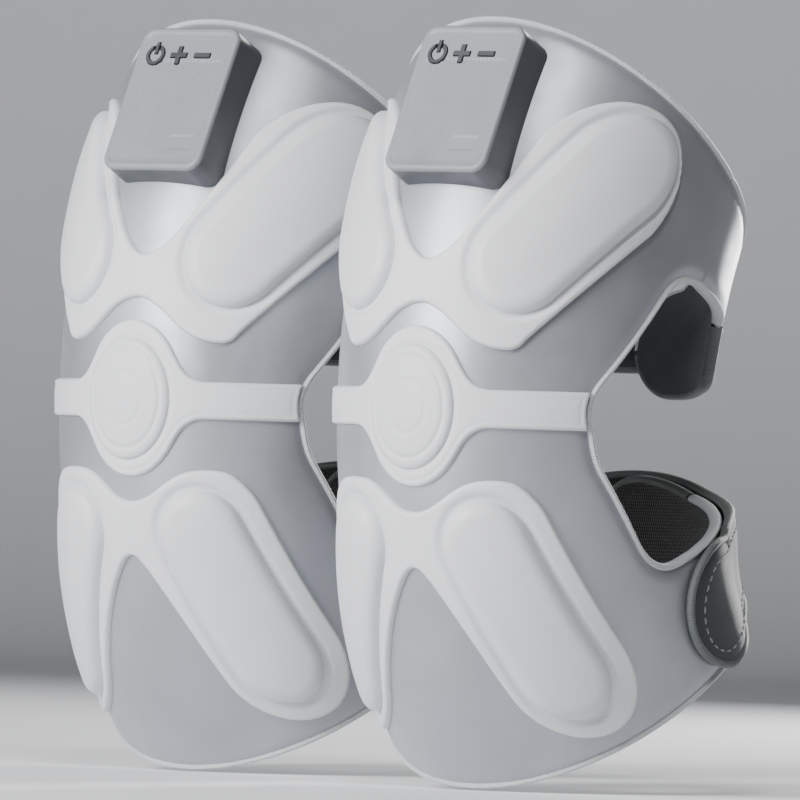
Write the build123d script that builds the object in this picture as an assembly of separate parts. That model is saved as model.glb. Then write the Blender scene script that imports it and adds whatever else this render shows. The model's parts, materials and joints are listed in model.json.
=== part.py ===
from build123d import *
import math
import os

# A pair of cordless knee massager wraps. Each guard is a tube of half-ellipse plan sections,
# bent about a cross axis behind the knee, so that it follows a slightly flexed leg.
# Frame of one guard: front of the knee towards -Y, up +Z, origin at the centre of the knee.

# Bent tube that every layer follows
HALF_WIDTH = 61.0
FRONT_DEPTH = 70.0
BACK_DEPTH = 54.0
BEND_RADIUS = 145.0
BEND_ANGLE = 39.0
GIRTH_PER_RADIAN = 66.0

# Rims: straight in side view, given by their height at Y = 0 and their slope
TOP_RIM = (98.6, -0.954)
BOTTOM_RIM = (-104.1, 0.739)

# Opening at the side of the knee, in side view: Y, Z and corner radius
SIDE_OPENING = [
    (-39.5, 1.7, 14), (-4.2, 43.5, 12), (31, 24.5, 8), (36, 7, 6), (47, 2.6, 10), (85, 2.6, 0),
    (85, -16, 0), (31.5, -38, 30), (-8.5, -57.5, 14), (-36, -17.5, 20),
]

# Layers, as distances outside the face of the outer shell
SHELL_INSIDE = -3.0
FILM_INSIDE = -3.5
LINING_INSIDE = -4.3
OVERLAY_TOP = 1.8
BAND_TOP = 1.6
DISC_TOP = 3.4
POD_TOP = 5.8
BINDING_INSIDE = -4.8
BINDING_OUTSIDE = 0.7
BINDING_WIDTH = 2.5

# Wings: straps hinged on the shell's side edges that close behind the knee
HINGE_ANGLE = 100.0
UPPER_HINGE_BENDS = (13.5, 34.5)
LOWER_HINGE_BENDS = (-35.0, -17.8)
HINGE_GAP = 0.5
WING_THICKNESS = 3.8
WING_LIFT = 5.4
LIFT_START = 105.0
LIFT_END = 155.0
TAPE_THICKNESS = 0.9

# Controller on the thigh side of the front
CONTROLLER_HEIGHT = 94.8
CONTROLLER_ACROSS = 4.0
CONTROLLER_WIDTH = 40.0
CONTROLLER_LENGTH = 53.0
CONTROLLER_CORNER = 5.0
COVER_BOTTOM = 6.6
COVER_TOP = 8.0
FLOOR_TOP = 1.6
WALL = 1.8
BUTTON_TRAVEL = 0.4
BUTTON_CLEARANCE = 0.25
BUTTON_ROW = (-2.5, 16.0)
BUTTON_SPACING = 9.7
SCREW_HEAD = (-1.6, -0.4)

# Where the second guard stands beside the first
PAIR_OFFSET = (-152.0, 50.0, 0.0)

REACH = 90.0
BEND_AXIS = Axis((0, BEND_RADIUS, 0), (-1, 0, 0))


def section_point(phi, rise=0.0):
    """Point of the plan section, phi degrees round from the front towards +X."""
    turn = math.radians(phi)
    depth = FRONT_DEPTH if math.cos(turn) >= 0 else BACK_DEPTH
    return (HALF_WIDTH + rise) * math.sin(turn), -(depth + rise) * math.cos(turn)


def surface_point(phi, height, rise=0.0):
    """Point of the bent tube at a plan angle and a height."""
    x, y = section_point(phi, rise)
    arm = BEND_RADIUS - y
    return Vector(x, BEND_RADIUS - math.sqrt(arm ** 2 - height ** 2), height)


def surface_normal(phi, height):
    """Outward normal of the shell's face."""
    turn = math.radians(phi)
    depth = FRONT_DEPTH if math.cos(turn) >= 0 else BACK_DEPTH
    across = math.sin(turn) / HALF_WIDTH
    out = -math.cos(turn) / depth
    lean = math.asin(height / (BEND_RADIUS - section_point(phi)[1]))
    return Vector(across, out * math.cos(lean), -out * math.sin(lean)).normalized()


def girth_point(across, height, rise=0.0):
    """Point of the tube by distance round the front, in mm."""
    return surface_point(math.degrees(across / GIRTH_PER_RADIAN), height, rise)


def bend(face):
    return revolve(face.rotate(BEND_AXIS, -BEND_ANGLE), BEND_AXIS, 2 * BEND_ANGLE)


def section_face(rise):
    front = EllipticalCenterArc((0, 0), HALF_WIDTH + rise, FRONT_DEPTH + rise, 180, arc_size=180)
    back = EllipticalCenterArc((0, 0), HALF_WIDTH + rise, BACK_DEPTH + rise, 0, arc_size=180)
    return make_face([front, back])


def side_prism(outline):
    """Outline in side view (Y, Z), cut right across the knee."""
    return extrude(Plane.YZ * outline, REACH, both=True)


def within_rims(inset):
    """Everything between the two rims, moved towards each other by inset."""
    corners = []
    for (height, slope), inward in ((TOP_RIM, -1), (BOTTOM_RIM, 1)):
        shift = inward * inset * math.hypot(1, slope)
        corners.append([(y, height + slope * y + shift) for y in (-REACH, REACH)])
    top, bottom = corners
    return side_prism(make_face(Polyline(*top, *reversed(bottom), close=True)))


def layer(inside, outside, inset=0.0):
    """All of the tube between two distances from the shell's face, and between the rims."""
    return bend(section_face(outside) - section_face(inside)) & within_rims(inset)


def filled_tube(rise):
    return bend(section_face(rise))


def side_cutout(grow=0.0):
    """Opening from both sides of the knee to the hollow of the knee."""
    points = [(y, z) for y, z, _ in SIDE_OPENING]
    radii = [radius for _, _, radius in SIDE_OPENING]
    outline = make_face(FilletPolyline(*points, radius=radii, close=True))
    if grow:
        outline = offset(outline, amount=grow)
    return side_prism(outline)


def hinge_line(top):
    """Two side-view points of the leaning line that the upper or lower wings hinge on."""
    arm = BEND_RADIUS - section_point(HINGE_ANGLE)[1]
    ends = []
    for angle in UPPER_HINGE_BENDS if top else LOWER_HINGE_BENDS:
        turn = math.radians(angle)
        ends.append((BEND_RADIUS - arm * math.cos(turn), arm * math.sin(turn)))
    return ends


def behind_hinge(top, shift):
    """Everything behind the hinge line, shifted backwards, for the upper or lower half."""
    (y0, z0), (y1, z1) = hinge_line(top)
    slope = (y1 - y0) / (z1 - z0)
    far = 140.0 if top else -140.0
    near_y = y0 - slope * z0 + shift
    far_y = y0 + slope * (far - z0) + shift
    corners = [(near_y, 0), (far_y, far), (220, far), (220, 0)]
    return side_prism(make_face(Polyline(*corners, close=True)))


def front_only(solid):
    for top in (True, False):
        solid = solid - behind_hinge(top, -HINGE_GAP / 2)
    return solid


def slot_tool(start, end, radius, taper=0.0):
    """Slot-shaped prism over the line between two girth points, along the local normal."""
    p0 = girth_point(*start)
    p1 = girth_point(*end)
    middle = ((start[0] + end[0]) / 2, (start[1] + end[1]) / 2)
    phi = math.degrees(middle[0] / GIRTH_PER_RADIAN)
    plane = Plane((p0 + p1) / 2, x_dir=p1 - p0, z_dir=surface_normal(phi, middle[1]))
    slot = SlotCenterToCenter((p1 - p0).length, 2 * radius)
    return extrude(plane.offset(-10) * slot, 26, taper=taper)


def normal_rod(start, end, radius, inside, outside):
    """Round rod along the local normal at the middle of a slot."""
    across = (start[0] + end[0]) / 2
    height = (start[1] + end[1]) / 2
    phi = math.degrees(across / GIRTH_PER_RADIAN)
    normal = surface_normal(phi, height)
    plane = Plane(surface_point(phi, height) + normal * inside, z_dir=normal)
    return extrude(plane * Circle(radius), outside - inside)


def front_prism(outline):
    """Outline in front view (X, Z), through the front half only."""
    return extrude(Plane.XZ * outline, 120)


# Ends of each pod's centre line, as girth and height, in mm
POD_LINES = {
    "upper_inner": ((-30.4, 45.6), (-57.1, 73.1), 17.5),
    "upper_outer": ((37.4, 45.6), (64.1, 73.1), 17.5),
    "lower_inner": ((-27.5, -46), (-45, -86), 15.0),
    "lower_outer": ((27.5, -46), (45, -86), 15.0),
}

# Arms of the white plates: ends of the +X arm's centre line, its radius, and the girth that the
# plate is mirrored about
UPPER_ARM = ((33, 38), (61, 71), 23.5, 3.5)
LOWER_ARM = ((28, -46), (46, -85.5), 22.5, 0.0)
KNEE_HEIGHT = -1.7
RING_GAP_RADIUS = 31.5
RING_RADIUS = 25.5
DISC_HALF_WIDTH = 17.0
DISC_HALF_HEIGHT = 20.4
BAND_HALF_HEIGHT = 5.9
MOTOR_RADIUS = 5.0
MOTOR_HEIGHT = 3.0
WIRE_RADIUS = 1.2
POD_TAPER = 12


def mirrored(point, middle):
    return 2 * middle - point[0], point[1]


def overlay(arm, bridge_points, bridge_radii):
    """White plate: two arms joined above or below the kneecap ring."""
    start, end, radius, middle = arm
    outline = make_face(FilletPolyline(*bridge_points, radius=bridge_radii, close=True))
    tool = front_prism(outline) + slot_tool(start, end, radius)
    tool = tool + slot_tool(mirrored(start, middle), mirrored(end, middle), radius)
    return (tool - front_prism(Pos(0, KNEE_HEIGHT) * Circle(RING_GAP_RADIUS))) & layer(0, OVERLAY_TOP)


def wire_holes():
    holes = []
    for start, end, _ in POD_LINES.values():
        holes.append(normal_rod(start, end, WIRE_RADIUS, FILM_INSIDE, OVERLAY_TOP + 0.2))
    return holes


def make_shell():
    shell = front_only(layer(SHELL_INSIDE, 0, BINDING_WIDTH) - side_cutout(BINDING_WIDTH))
    shell = shell - wire_holes()
    return shell - controller_plane() * extrude(Circle(2.5), 8, both=True)


def make_lining():
    lining = layer(LINING_INSIDE, FILM_INSIDE, BINDING_WIDTH)
    return front_only(lining - side_cutout(BINDING_WIDTH))


def make_film():
    pads = []
    for side in (-1, 1):
        phi = side * 33.0
        plane = Plane(surface_point(phi, 0), z_dir=surface_normal(phi, 0), x_dir=(0, 0, 1))
        prism = extrude(plane * RectangleRounded(52, 26, 5), 12, both=True)
        pads.append(prism & layer(FILM_INSIDE, SHELL_INSIDE))
    return Compound(children=pads)


def make_harness():
    strips = Pos(0, 17) * Rectangle(5, 166)
    strips += Pos(0, 0) * Rectangle(34, 4)
    strips += Pos(0, 59) * Rectangle(88, 4)
    strips += Pos(0, -64) * Rectangle(68, 4)
    harness = front_prism(strips) & layer(FILM_INSIDE, SHELL_INSIDE)
    return harness - make_film()


def make_binding():
    """Tape round the rims and the front edge of both side openings."""
    tape = layer(BINDING_INSIDE, BINDING_OUTSIDE)
    rims = tape - within_rims(BINDING_WIDTH)
    edge = tape & (side_cutout(BINDING_WIDTH) - side_cutout())
    return Compound(children=[solid for piece in (rims, edge) for solid in front_only(piece).solids()])


def make_upper_overlay():
    points = [(-26, 22), (26, 22), (46, 60), (34, 78), (3.5, 42), (-27, 78), (-39, 60)]
    room = RectangleRounded(CONTROLLER_WIDTH + 0.6, CONTROLLER_LENGTH + 0.6, CONTROLLER_CORNER)
    plate = overlay(UPPER_ARM, points, [0, 0, 0, 0, 8, 0, 0])
    return plate - wire_holes() - controller_plane() * block(room, -12, COVER_TOP)


def make_lower_overlay():
    points = [(-22, -27), (22, -27), (38, -80), (27, -100), (0, -49), (-27, -100), (-38, -80)]
    return overlay(LOWER_ARM, points, [0, 0, 0, 0, 6, 0, 0]) - wire_holes()


def make_band():
    band = front_prism(Pos(0, KNEE_HEIGHT) * Rectangle(2 * REACH, 2 * BAND_HALF_HEIGHT))
    ring = front_prism(Pos(0, KNEE_HEIGHT) * Circle(RING_RADIUS))
    return (band - side_cutout(BINDING_WIDTH) + ring) & layer(0, BAND_TOP)


def make_disc():
    oval = Pos(0, KNEE_HEIGHT) * Ellipse(DISC_HALF_WIDTH, DISC_HALF_HEIGHT)
    return front_prism(oval) & layer(BAND_TOP, DISC_TOP)


def make_pod(start, end, radius):
    pod = slot_tool(start, end, radius, taper=POD_TAPER) & layer(OVERLAY_TOP, POD_TOP)
    room = normal_rod(start, end, MOTOR_RADIUS + 0.2, 0, OVERLAY_TOP + MOTOR_HEIGHT + 0.4)
    return pod - room


def make_motors():
    base = OVERLAY_TOP + 0.2
    motors = []
    for start, end, _ in POD_LINES.values():
        motors.append(normal_rod(start, end, MOTOR_RADIUS, base, base + MOTOR_HEIGHT))
    return Compound(children=motors)


# Controller, in its own frame: X across the knee, Y up the thigh, Z out of the shell


def controller_plane():
    centre = surface_point(0, CONTROLLER_HEIGHT) + Vector(CONTROLLER_ACROSS, 0, 0)
    return Plane(centre, x_dir=(1, 0, 0), z_dir=surface_normal(0, CONTROLLER_HEIGHT))


def block(outline, bottom, top):
    return Pos(0, 0, bottom) * extrude(outline, top - bottom)


def corner_places():
    x = CONTROLLER_WIDTH / 2 - 4.4
    y = CONTROLLER_LENGTH / 2 - 4.4
    return [(-x, -y), (-x, y), (x, -y), (x, y)]


def glyphs():
    power = Circle(3.6) - Circle(2.5) - Pos(0, 3) * Rectangle(3.2, 4) + Pos(0, 2.6) * Rectangle(1.1, 4.2)
    plus = Rectangle(6.4, 1.6) + Rectangle(1.6, 6.4)
    minus = Rectangle(6.4, 1.6)
    middle = BUTTON_ROW[0]
    return {
        "power_button": (middle - BUTTON_SPACING, power),
        "plus_button": (middle, plus),
        "minus_button": (middle + BUTTON_SPACING, minus),
    }


def glyph_holes():
    holes = []
    for across, glyph in glyphs().values():
        opening = offset(glyph, amount=BUTTON_CLEARANCE, kind=Kind.INTERSECTION)
        holes.append(block(Pos(across, BUTTON_ROW[1]) * opening, COVER_BOTTOM - 1, COVER_TOP + 1))
    return holes


def make_button(across, glyph):
    flange = block(Circle(4.1), COVER_BOTTOM - 0.75, COVER_BOTTOM - 0.15)
    cap = block(glyph, COVER_BOTTOM - 0.75, COVER_TOP + BUTTON_TRAVEL)
    return Pos(across, BUTTON_ROW[1], 0) * (flange + cap)


def make_cover():
    outline = RectangleRounded(CONTROLLER_WIDTH, CONTROLLER_LENGTH, CONTROLLER_CORNER)
    plate = block(outline, COVER_BOTTOM, COVER_TOP)
    plate = chamfer(plate.edges().group_by(Axis.Z)[-1], 0.8)
    for x, y in corner_places():
        plate += Pos(x, y) * block(Circle(2.2), FLOOR_TOP + 0.2, COVER_BOTTOM)
        plate -= Pos(x, y) * block(Circle(1.0), FLOOR_TOP, COVER_BOTTOM - 0.6)
    return plate - glyph_holes()


def make_housing():
    outline = RectangleRounded(CONTROLLER_WIDTH, CONTROLLER_LENGTH, CONTROLLER_CORNER)
    room = RectangleRounded(CONTROLLER_WIDTH - 2 * WALL, CONTROLLER_LENGTH - 2 * WALL,
                            CONTROLLER_CORNER - WALL)
    cavity = block(room, -9, COVER_BOTTOM)
    for x, y in corner_places():
        cavity -= Pos(x, y) * block(Circle(3.0), -9, FLOOR_TOP)
    plane = controller_plane()
    local_base = plane.location.inverse() * filled_tube(0.1)
    local_floor = plane.location.inverse() * filled_tube(FLOOR_TOP)
    housing = block(outline, -9, COVER_BOTTOM) - local_base - (cavity - local_floor)
    for x, y in corner_places():
        housing -= Pos(x, y) * block(Circle(2.2), -9, SCREW_HEAD[1])
        housing -= Pos(x, y) * block(Circle(1.1), -9, FLOOR_TOP + 1)
    housing -= usb_place() * extrude(RectangleRounded(9.2, 3.5, 1.7), 12, both=True)
    return housing - block(Circle(2.5), -4, 3)


def make_circuit_board():
    return block(Pos(0, 13.5) * Rectangle(26, 17), 4.0, 4.8)


def make_battery():
    cell = block(Pos(0, -7.5) * Rectangle(32, 23), FLOOR_TOP + 0.3, FLOOR_TOP + 4.1)
    return fillet(cell.edges().filter_by(Axis.Y), 1.5)


def usb_place():
    return Plane((-CONTROLLER_WIDTH / 2, 13.5, 2.2), x_dir=(0, 1, 0), z_dir=(-1, 0, 0)).location


def make_usb_socket():
    tube = extrude(RectangleRounded(8.9, 3.2, 1.55), -7.0)
    mouth = extrude(RectangleRounded(8.3, 2.6, 1.25), -6.0)
    tongue = Pos(0, 0, -6) * extrude(Rectangle(6.6, 0.7), 5.0)
    return usb_place() * (tube - mouth + tongue)


def make_screws():
    screws = []
    for x, y in corner_places():
        screw = block(Circle(1.9), *SCREW_HEAD) + block(Circle(1.0), SCREW_HEAD[1], COVER_BOTTOM - 0.8)
        slot = block(Rectangle(0.5, 2.8) + Rectangle(2.8, 0.5), SCREW_HEAD[0], SCREW_HEAD[0] + 0.6)
        screws.append(Pos(x, y) * (screw - slot))
    return Compound(children=screws)


# Wings


def ramp(turn):
    share = min(max((turn - LIFT_START) / (LIFT_END - LIFT_START), 0.0), 1.0)
    return WING_LIFT * share * share * (3 - 2 * share)


def wing_face(side, last, lifted):
    """Plan section of a wing from its hinge to a plan angle, counted from the front."""
    steps = 18
    outer = []
    inner = []
    for i in range(steps + 1):
        turn = HINGE_ANGLE - 6 + (last - HINGE_ANGLE + 6) * i / steps
        lift = ramp(turn) if lifted else 0.0
        outer.append(section_point(side * turn, lift))
        inner.append(section_point(side * turn, lift - WING_THICKNESS))
    edges = [Spline(*outer), Line(outer[-1], inner[-1]), Spline(*inner), Line(inner[0], outer[0])]
    return make_face(edges)


def half_space(low, high):
    """Box between two corners."""
    size = [b - a for a, b in zip(low, high)]
    return Pos(*[(a + b) / 2 for a, b in zip(low, high)]) * Box(*size)


def make_wing(side, top, last, lifted, end_shape):
    wing = bend(wing_face(side, last, lifted)) & within_rims(0) & behind_hinge(top, HINGE_GAP / 2)
    return (wing - side_cutout()) & end_shape


def round_end_back(centre_x, centre_z, radius, side, bottom=-140):
    """All of a strap on its hinge's side of centre_x, and a half-round end past it."""
    disc = extrude(Plane.XZ * Pos(centre_x, centre_z) * Circle(radius), -REACH * 1.5)
    low, high = (centre_x, 140) if side > 0 else (-140, centre_x)
    strap = half_space((low, -REACH, bottom), (high, 140, 140))
    return strap + disc


def make_upper_outer_wing():
    return make_wing(-1, True, 202, True, round_end_back(3, 25, 13.5, -1, bottom=11.5))


def make_upper_inner_wing():
    return make_wing(1, True, 184, False, round_end_back(20, 20.5, 18.0, 1))


def make_lower_outer_wing():
    far_half = half_space((-140, -REACH, -140), (0, 140, 140))
    near_strap = half_space((0, 23, -140), (140, 140, 140))
    near_disc = extrude(Plane.YZ * Pos(23, -62.5) * Circle(21.5), 140)
    return make_wing(-1, False, 292, True, far_half + near_strap + near_disc)


def make_lower_inner_wing():
    return make_wing(1, False, 202, False, round_end_back(2.5, -37.5, 15.5, 1))


def make_hook_tape(low, high, bottom, top, height_radius):
    """Hook tape on the inside face of an outer wing's free end."""
    inside = WING_LIFT - WING_THICKNESS - TAPE_THICKNESS
    centre = (low + high) / 2
    z = (bottom + top) / 2
    patch = RectangleRounded(high - low, top - bottom, height_radius)
    prism = extrude(Plane.XZ * Pos(centre, z) * patch, -REACH * 1.5)
    return prism & layer(inside, inside + TAPE_THICKNESS)


def make_upper_hook_tape():
    return make_hook_tape(-13, 11, 16, 33, 5)


def make_lower_hook_tape():
    return make_hook_tape(14, 42, -48, -31, 4)


def build_guard():
    plane = controller_plane()
    nodes = {
        "outer_shell": make_shell(),
        "mesh_lining": make_lining(),
        "heating_film": make_film(),
        "wiring_harness": make_harness(),
        "edge_binding": make_binding(),
        "upper_overlay": make_upper_overlay(),
        "lower_overlay": make_lower_overlay(),
        "kneecap_band": make_band(),
        "kneecap_disc": make_disc(),
        "vibration_motors": make_motors(),
        "controller_cover": plane * make_cover(),
        "controller_housing": plane * make_housing(),
        "circuit_board": plane * make_circuit_board(),
        "battery": plane * make_battery(),
        "usb_socket": plane * make_usb_socket(),
        "controller_screws": plane * make_screws(),
        "upper_outer_wing": make_upper_outer_wing(),
        "upper_inner_wing": make_upper_inner_wing(),
        "lower_outer_wing": make_lower_outer_wing(),
        "lower_inner_wing": make_lower_inner_wing(),
        "upper_hook_tape": make_upper_hook_tape(),
        "lower_hook_tape": make_lower_hook_tape(),
    }
    for name, (start, end, radius) in POD_LINES.items():
        nodes[name + "_pod"] = make_pod(start, end, radius)
    for name, (across, glyph) in glyphs().items():
        nodes[name] = plane * make_button(across, glyph)
    return nodes


guard_nodes = build_guard()
os.makedirs("parts", exist_ok=True)
for wearer_side, place in (("left", Pos(0, 0, 0)), ("right", Pos(*PAIR_OFFSET))):
    for node_name, node in guard_nodes.items():
        export_step(place * node, f"parts/{wearer_side}_{node_name}.step")

for label, top_half in (("upper", True), ("lower", False)):
    hinge_low, hinge_high = hinge_line(top_half)
    print(label, "hinge line (y, z):", [round(v, 2) for v in hinge_low + hinge_high])
print("hinge x:", round(section_point(HINGE_ANGLE, 0.3)[0], 2))
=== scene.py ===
import json
import math

import bpy
import numpy as np
from mathutils import Matrix, Vector


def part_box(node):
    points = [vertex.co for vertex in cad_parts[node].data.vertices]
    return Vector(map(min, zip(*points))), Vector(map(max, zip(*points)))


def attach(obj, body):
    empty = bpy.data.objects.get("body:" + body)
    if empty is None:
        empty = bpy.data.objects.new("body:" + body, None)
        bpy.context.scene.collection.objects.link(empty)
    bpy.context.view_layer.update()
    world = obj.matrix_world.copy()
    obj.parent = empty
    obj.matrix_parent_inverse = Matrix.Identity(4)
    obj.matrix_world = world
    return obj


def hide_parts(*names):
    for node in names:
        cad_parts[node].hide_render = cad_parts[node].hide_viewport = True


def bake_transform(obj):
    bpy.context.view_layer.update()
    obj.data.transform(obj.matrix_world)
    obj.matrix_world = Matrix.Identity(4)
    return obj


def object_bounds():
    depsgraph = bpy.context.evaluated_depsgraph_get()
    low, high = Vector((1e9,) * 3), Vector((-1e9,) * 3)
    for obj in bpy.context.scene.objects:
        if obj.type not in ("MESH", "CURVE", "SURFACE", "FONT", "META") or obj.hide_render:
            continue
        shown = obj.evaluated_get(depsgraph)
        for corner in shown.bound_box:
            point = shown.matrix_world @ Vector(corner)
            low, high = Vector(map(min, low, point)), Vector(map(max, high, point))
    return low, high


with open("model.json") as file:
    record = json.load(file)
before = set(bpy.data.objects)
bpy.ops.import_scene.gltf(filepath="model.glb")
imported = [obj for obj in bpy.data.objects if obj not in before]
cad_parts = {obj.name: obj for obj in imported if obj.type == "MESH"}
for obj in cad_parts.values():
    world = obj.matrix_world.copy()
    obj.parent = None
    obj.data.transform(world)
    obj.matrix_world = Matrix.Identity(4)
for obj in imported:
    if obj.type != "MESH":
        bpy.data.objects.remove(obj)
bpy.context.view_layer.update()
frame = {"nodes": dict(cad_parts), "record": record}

MM = 0.001

# A pair of knee massager wraps. Every skin of a guard is drawn over one bent tube, in mm:
# girth runs round the knee from the middle of the front towards +X, height runs up it,
# and rise stands off it along its normal.
HALF_WIDTH = 61.0
FRONT_DEPTH = 70.0
BACK_DEPTH = 54.0
BEND_RADIUS = 145.0
GIRTH_PER_RADIAN = 66.0
SEAM_GIRTH = GIRTH_PER_RADIAN * math.radians(91)

# Rims: straight in side view, given by their height at y = 0 and their slope
TOP_RIM = (98.6, -0.954)
BOTTOM_RIM = (-104.1, 0.739)

# Layers
SHELL_INSIDE = -3.0
LINING_OUTSIDE = -3.5
LINING_INSIDE = -4.3
PIPING_ACROSS = 1.3
PIPING_THROUGH = 2.3
PIPING_CENTRE = -2.25

# Straps: the outer one of each level rises over the inner one between two turns in degrees,
# settles on the shell's far flank, and both lower ones draw in behind the calf
WING_LIFT = 5.4
LIFT_START = 105.0
LIFT_END = 155.0
FAR_FLANK = 225.0
FAR_SETTLE = 1.9
FAR_THINNING = 1.2
CALF_DRAW_IN = 3.5
STRAP_CREASE = 0.5
HALF_GAP = 3.0

# Hinge lines of the straps: how far out, then the middle and the way across, in side view
HINGE_OUT = 60.4
HINGE_TURN_IN = 0.35
UPPER_HINGE = ((23.175, 54.24), (0.856, -0.381))
LOWER_HINGE = ((24.885, -59.625), (0.839, 0.4165))
FOLD_HALF = 6.0

# Moulded plates and pods. Lobes and pods are slots with two end radii, their girths counted
# from the girth that their plate is mirrored about.
PLATE_TOP = 2.0
PLATE_UNDER_POD = 0.9
POD_HEIGHT = 4.6
POD_SHOULDER = 5.5
CAP_HEIGHT = 2.1
UPPER_MIDDLE = 3.5
LOWER_MIDDLE = 0.0
UPPER_LOBE = ((23.3, 31.2), (52.3, 71.3), 17.9, 27.0)
LOWER_LOBE = ((28.0, -46.0), (46.5, -85.0), 23.0, 22.0)
UPPER_POD = ((32.9, 46.2), (57.0, 74.6), 17.3, 19.6)
LOWER_POD = ((27.5, -46.0), (45.0, -86.0), 15.0, 15.0)
STRAP_HEIGHT = -1.9
STRAP_HALF = 6.2
RING_PLACE = (2.2, -1.6)
RING_SIZE = (20.5, 26.0)
CAP_PLACE = (1.0, -1.7)
CAP_SIZE = (17.2, 20.4)

# Opening at the side of the knee, in side view: y, z and corner radius
SIDE_OPENING = [(-39.5, 1.7, 14), (-4.2, 43.5, 12), (31, 28.0, 8), (36, 7, 6), (47, 2.6, 10),
                (85, 2.6, 0), (85, -15, 0), (60, -17.5, 6), (51, -27.4, 8), (-11.7, -53.3, 12),
                (-36, -17.5, 20)]

# The back edge of the upper silver cloth, in side view: height at y = 0 and slope
CLOTH_EDGE = (41.6, -0.44)

# Controller, in its own frame: across, up the thigh, out of the shell
CONTROLLER_HEIGHT = 94.8
CONTROLLER_SHIFT = 4.0
CONTROLLER_SIZE = (40.0, 53.0)
CONTROLLER_CORNER = 5.0
COVER_BOTTOM = 6.6
COVER_TOP = 8.0
BUTTON_ROW = (-2.5, 16.0)
BUTTON_SPACING = 9.7
BUTTON_CLEARANCE = 0.3
GLYPH_BAR = (3.2, 0.8)
RIB_PITCH = 1.65

SHELL_STEP = 1.5
PLATE_STEP = 0.6
PIPING_STEP = 1.6
SIDES = ("left", "right")


# Numbers


def smoothstep(share):
    share = np.clip(share, 0, 1)
    return share * share * (3 - 2 * share)


def smooth_min(first, second, width):
    share = np.clip(0.5 + 0.5 * (second - first) / width, 0, 1)
    return second * (1 - share) + first * share - width * share * (1 - share)


def smooth_max(first, second, width):
    return -smooth_min(-first, -second, width)


def quarter_round(inside, radius):
    """How far a rounded edge has risen, from 0 to 1, at a distance inside the edge."""
    share = np.clip(inside / radius, 0, 1)
    return np.sqrt(1 - (1 - share) ** 2)


def bump(distance, width):
    return np.exp(-(distance / width) ** 2)


def unit(vectors):
    length = np.linalg.norm(vectors, axis=-1, keepdims=True)
    return vectors / np.maximum(length, 1e-12)


# The bent tube


def depth_of(turn):
    return np.where(np.cos(turn) >= 0, FRONT_DEPTH, BACK_DEPTH)


def lean_of(girth, height):
    """Bend angle and arm of a point of the tube."""
    turn = girth / GIRTH_PER_RADIAN
    arm = BEND_RADIUS + depth_of(turn) * np.cos(turn)
    return np.arcsin(np.clip(height / arm, -0.99, 0.99)), arm


def tube(girth, height, rise):
    """Points and outward normals over the bent tube, in mm."""
    girth, height, rise = np.broadcast_arrays(girth, height, rise)
    turn = girth / GIRTH_PER_RADIAN
    lean, arm = lean_of(girth, height)
    base = np.stack([HALF_WIDTH * np.sin(turn), BEND_RADIUS - arm * np.cos(lean), height], -1)
    out = -np.cos(turn) / depth_of(turn)
    normal = np.stack([np.sin(turn) / HALF_WIDTH, out * np.cos(lean), -out * np.sin(lean)], -1)
    normal = unit(normal)
    return base + rise[..., None] * normal, normal


CONTROLLER_ACROSS = np.array([1.0, 0.0, 0.0])
CONTROLLER_CENTRE, CONTROLLER_NORMAL = tube(0.0, CONTROLLER_HEIGHT, 0.0)
CONTROLLER_CENTRE = CONTROLLER_CENTRE + CONTROLLER_SHIFT * CONTROLLER_ACROSS
CONTROLLER_UP = np.cross(CONTROLLER_NORMAL, CONTROLLER_ACROSS)


def controller(across, up, rise):
    """Points and normals in the controller's own frame, in mm."""
    across, up, rise = np.broadcast_arrays(across, up, rise)
    point = CONTROLLER_CENTRE + across[..., None] * CONTROLLER_ACROSS
    point = point + up[..., None] * CONTROLLER_UP + rise[..., None] * CONTROLLER_NORMAL
    return point, np.broadcast_to(CONTROLLER_NORMAL, point.shape)


# Outlines: functions of girth and height that are negative inside


def capsule(girth, height, line):
    """Slot whose ends may differ in radius."""
    (a0, b0), (a1, b1), start_radius, end_radius = line
    along = ((girth - a0) * (a1 - a0) + (height - b0) * (b1 - b0))
    along = np.clip(along / ((a1 - a0) ** 2 + (b1 - b0) ** 2), 0, 1)
    away = np.hypot(girth - a0 - along * (a1 - a0), height - b0 - along * (b1 - b0))
    return away - start_radius - along * (end_radius - start_radius)


def rounded_box(across, up, half_width, half_height, corner):
    x = np.abs(across) - half_width + corner
    y = np.abs(up) - half_height + corner
    return np.hypot(np.maximum(x, 0), np.maximum(y, 0)) + np.minimum(np.maximum(x, y), 0) - corner


def ellipse(girth, height, centre, size):
    share = np.hypot((girth - centre[0]) / size[0], (height - centre[1]) / size[1])
    return (share - 1) * (size[0] + size[1]) / 2


def rounded_outline(corners):
    """Closed outline through corners given with their radii."""
    places = np.array([corner[:2] for corner in corners], float)
    outline = []
    for k, (_, _, radius) in enumerate(corners):
        back = unit(places[k - 1] - places[k])
        ahead = unit(places[(k + 1) % len(places)] - places[k])
        half = math.acos(float(np.clip(back @ ahead, -1, 1))) / 2
        if radius == 0:
            outline.append(places[k])
            continue
        middle = places[k] + unit(back + ahead) * radius / math.sin(half)
        for share in np.linspace(0, 1, 9):
            start = back * math.cos(half) * radius / math.sin(half)
            end = ahead * math.cos(half) * radius / math.sin(half)
            spoke = places[k] + start * (1 - share) + end * share - middle
            outline.append(middle + unit(spoke) * radius)
    return np.array(outline)


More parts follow.
